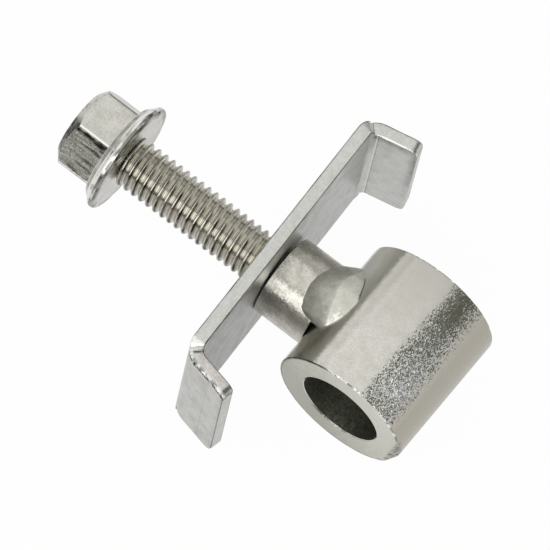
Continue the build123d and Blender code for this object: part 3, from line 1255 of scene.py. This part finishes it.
def hexagon_mark(spot, swing, past, angle):
    """Painted highlight along one side of each corner, a darker stripe beside it, and streaks on the lower
    faces.
    """
    fine = noise.noise(spot * 2.4)
    drawn = noise.noise(Vector((spot.x * 0.45, spot.y * 2.6, spot.z * 2.6)))
    streaks = 0.2 - 0.85 * ease(drawn, 0.08, 0.34) if angle > 114 or angle < 50 else 0.0
    # Painted highlight along one side of each corner.
    if swing < -2:
        return 0.95 if fine > -0.25 else 0.1
    # Darker stripe beside the corner, strongest on the lower faces.
    low_side = 1.0 if angle > 100 else 0.35
    stripe = ease(HEX_STRIPE * low_side - past, 0.0, 0.2) * low_side
    return streaks + stripe * (-0.95 - 0.5 * fine)


def chamfer_mark(spot, angle):
    """Dirt and painted shade on the lower left of the chamfer, and a few specks of dirt elsewhere."""
    fine = noise.noise(spot * 2.0)
    # Dirt and painted shade on the lower left of the chamfer.
    dirt_and_painted_shade = ease(angle, 98, 116) * (1 - ease(angle, 176, 190))
    specks = 0.45 * ease(noise.noise(spot * 2.9), 0.12, 0.36)
    return -max(specks, dirt_and_painted_shade * max(0.5, 1.0 + 0.5 * fine))


head_rows = steps(FLANGE_HEIGHT - 0.5, HEAD_HEIGHT - 1.35, 14) + steps(HEAD_HEIGHT - 1.3, HEAD_HEIGHT, 24)
head_points = []
head_marks = []
for height in head_rows:
    cone = HEAD_TOP_R + (HEAD_HEIGHT - height) / math.tan(HEAD_CHAMFER)
    for spot, swing, past in hexagon:
        angle = math.atan2(spot.y, spot.x) + HEX_TURN
        point = Vector(around_x(SEAT_X - height, min(spot.length, cone), angle))
        degrees = math.degrees(angle)
        head_points.append(point)
        if spot.length < cone:
            head_marks.append(hexagon_mark(point, swing, past, degrees))
        else:
            head_marks.append(chamfer_mark(point, degrees))
ring = len(hexagon)
head_faces = rows_of_faces(len(head_rows), ring)
head_faces += [tuple(range(ring)), tuple(range(len(head_points) - ring, len(head_points)))]
head = make_piece("head", head_points, head_faces, sharp_angle=24, marks=head_marks)
print("head faces:", len(head.data.polygons))

# %% [markdown]
# ## Flange
#
# The flange is a washer forged in one with the head: a rounded rim and a shallow cone up to the hexagon. It
# is turned from an outline like the other round forms, which lets its rim be truly round and carry a
# painted highlight in places. The bolt's three forms are then joined, since they are one solid on the real
# thing.

# %% Flange
FLANGE_R = 6.75
FLANGE_RIM = 0.95
FLANGE_TOP_R = 5.6
RIM_ROUND = 0.4
CORE_R = 2.0
CONE_HOLLOW = 0.85


def rim_arc(centre_x, start, end):
    """Points along a rounded edge of the flange's rim, between two headings in degrees."""
    arc = []
    for swing in steps(start, end, 7):
        heading = math.radians(swing)
        reach = FLANGE_R - RIM_ROUND + RIM_ROUND * math.sin(heading)
        arc.append((centre_x + RIM_ROUND * math.cos(heading), reach))
    return arc


def flange_mark(point):
    """Painted highlight round the rim, with a few dark flecks, and a darker ring under it."""
    radius = math.hypot(point.y, point.z)
    fine = noise.noise(point * 1.1)
    if point.x > SEAT_X - 0.25:
        return -0.45 - 0.8 * fine if radius > FLANGE_R - 0.8 else 0.0
    if radius < FLANGE_TOP_R + 0.02:
        return 0.4 if radius > FLANGE_TOP_R - 0.05 else -0.5
    if radius < FLANGE_TOP_R + 0.5:
        return -0.35 - 0.5 * fine
    # Painted highlight round the rim, broken by dark flecks.
    if point.x > SEAT_X - FLANGE_RIM / 2 - 0.1:
        return 0.3 - 0.9 * ease(-fine, -0.25, 0.05)
    return 0.8 - 0.9 * ease(-fine, 0.15, 0.4)


flange_outline = [(SEAT_X, radius) for radius in steps(CORE_R, FLANGE_R - RIM_ROUND - 0.1, 20)]
flange_outline += rim_arc(SEAT_X - RIM_ROUND, 0, 90)
flange_outline.append((SEAT_X - FLANGE_RIM / 2, FLANGE_R))
flange_outline += rim_arc(SEAT_X - FLANGE_RIM + RIM_ROUND, 90, 140)
cone_start = flange_outline[-1]
for share in steps(0, 1, 9)[1:]:
    along = cone_start[0] + (SEAT_X - FLANGE_HEIGHT - cone_start[0]) * share
    flange_outline.append((along, cone_start[1] + (FLANGE_TOP_R - cone_start[1]) * share ** CONE_HOLLOW))
flange_outline.append((SEAT_X - FLANGE_HEIGHT, FLANGE_TOP_R - 0.12))
flange_outline.append((SEAT_X - FLANGE_HEIGHT, CORE_R))
flange_points, flange_faces = turned(flange_outline, 200, around_x)
flange_marks = [flange_mark(Vector(point)) for point in flange_points]
flange = make_piece("flange", flange_points, flange_faces, marks=flange_marks)
print("flange faces:", len(flange.data.polygons))

# %% Join the bolt


def join_pieces(name, parts):
    """One object from several meshes that are one solid on the real thing."""
    joined = bmesh.new()
    for part in parts:
        joined.from_mesh(part.data)
    mesh = bpy.data.meshes.new(name)
    joined.to_mesh(mesh)
    joined.free()
    for part in parts:
        bpy.data.objects.remove(part)
    return put_in_scene(name, mesh)


bolt = join_pieces("adjuster_bolt_steel", [thread, head, flange])
hand_over(bolt, "adjuster_bolt", "bolt", bolt_finish)
